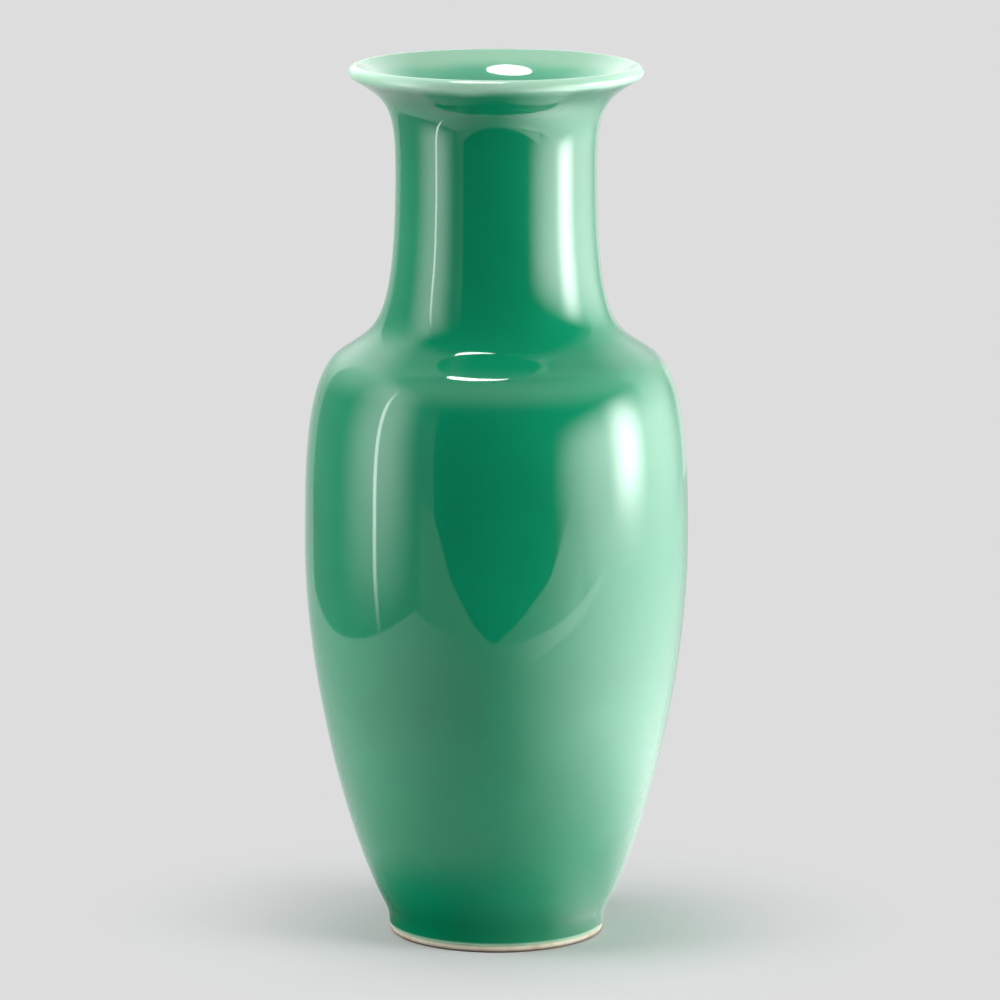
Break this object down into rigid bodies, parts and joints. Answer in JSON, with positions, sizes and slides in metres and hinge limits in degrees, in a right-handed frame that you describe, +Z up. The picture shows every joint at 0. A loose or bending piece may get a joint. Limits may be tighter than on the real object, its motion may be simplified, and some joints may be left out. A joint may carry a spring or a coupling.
{
  "type": "celadon vase",
  "caption": "Tall round porcelain vase with a tapered body, sloping shoulder, straight neck and flared mouth, in glossy green celadon glaze on a bare foot ring.",
  "frame": {"origin": "centre of the circle that the foot ring stands on, on the surface below it", "axes": "+Z up along the axis of the turned form, +X to the right and -Y toward the viewer of the picture"},
  "size_m": [0.197, 0.197, 0.45],
  "materials": {
    "bare_porcelain": "unglazed, smooth and dry",
    "luting_slip": "fired slip inside the joints",
    "porcelain_body": "fired porcelain under the glaze",
    "celadon_outside": "glossy green celadon glaze",
    "celadon_inside": "glossy pale green celadon glaze"
  },
  "bodies": {
    "root": {"foot_ring": "bare_porcelain", "foot_slip": "luting_slip", "lower_body": "porcelain_body", "belly_slip": "luting_slip", "upper_body": "porcelain_body", "shoulder_slip": "luting_slip", "neck": "porcelain_body", "outer_glaze": "celadon_outside", "inner_glaze": "celadon_inside", "base_glaze": "celadon_outside"}
  },
  "joints": []
}
